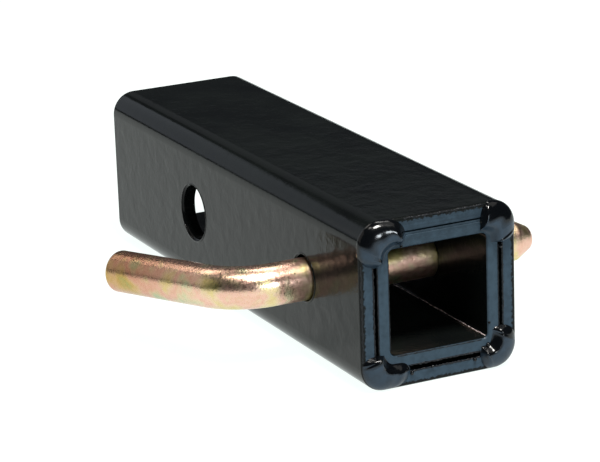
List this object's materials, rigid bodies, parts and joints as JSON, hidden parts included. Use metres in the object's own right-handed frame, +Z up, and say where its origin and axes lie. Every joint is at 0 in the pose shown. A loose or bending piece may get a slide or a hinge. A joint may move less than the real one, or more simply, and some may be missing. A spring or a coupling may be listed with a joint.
{
  "type": "hitch receiver adapter",
  "caption": "Square steel receiver adapter: a shank tube with a smaller socket sleeve welded into its front end and a bent hitch pin that slides through both.",
  "frame": {"origin": "on the tube's axis, at the centre of the shank pin hole", "axes": "+X along the tube towards the open socket, +Y along both pin holes towards the hitch pin's tip, +Z up"},
  "size_m": [0.18, 0.1213, 0.0508],
  "materials": {
    "black_coat": "gloss black coating over welded steel",
    "yellow_zinc": "yellow zinc plating with faint iridescence"
  },
  "bodies": {
    "adapter": {"outer_tube": "black_coat", "inner_sleeve": "black_coat", "top_left_weld": "black_coat", "top_right_weld": "black_coat", "bottom_left_weld": "black_coat", "bottom_right_weld": "black_coat", "top_weld_run": "black_coat"},
    "hitch_pin": {"hitch_pin": "yellow_zinc"}
  },
  "joints": [
    {"name": "pin_slide", "type": "slide", "parent": "adapter", "child": "hitch_pin", "axis": [0, -1, 0], "range_m": [-0.009, 0.08]}
  ]
}
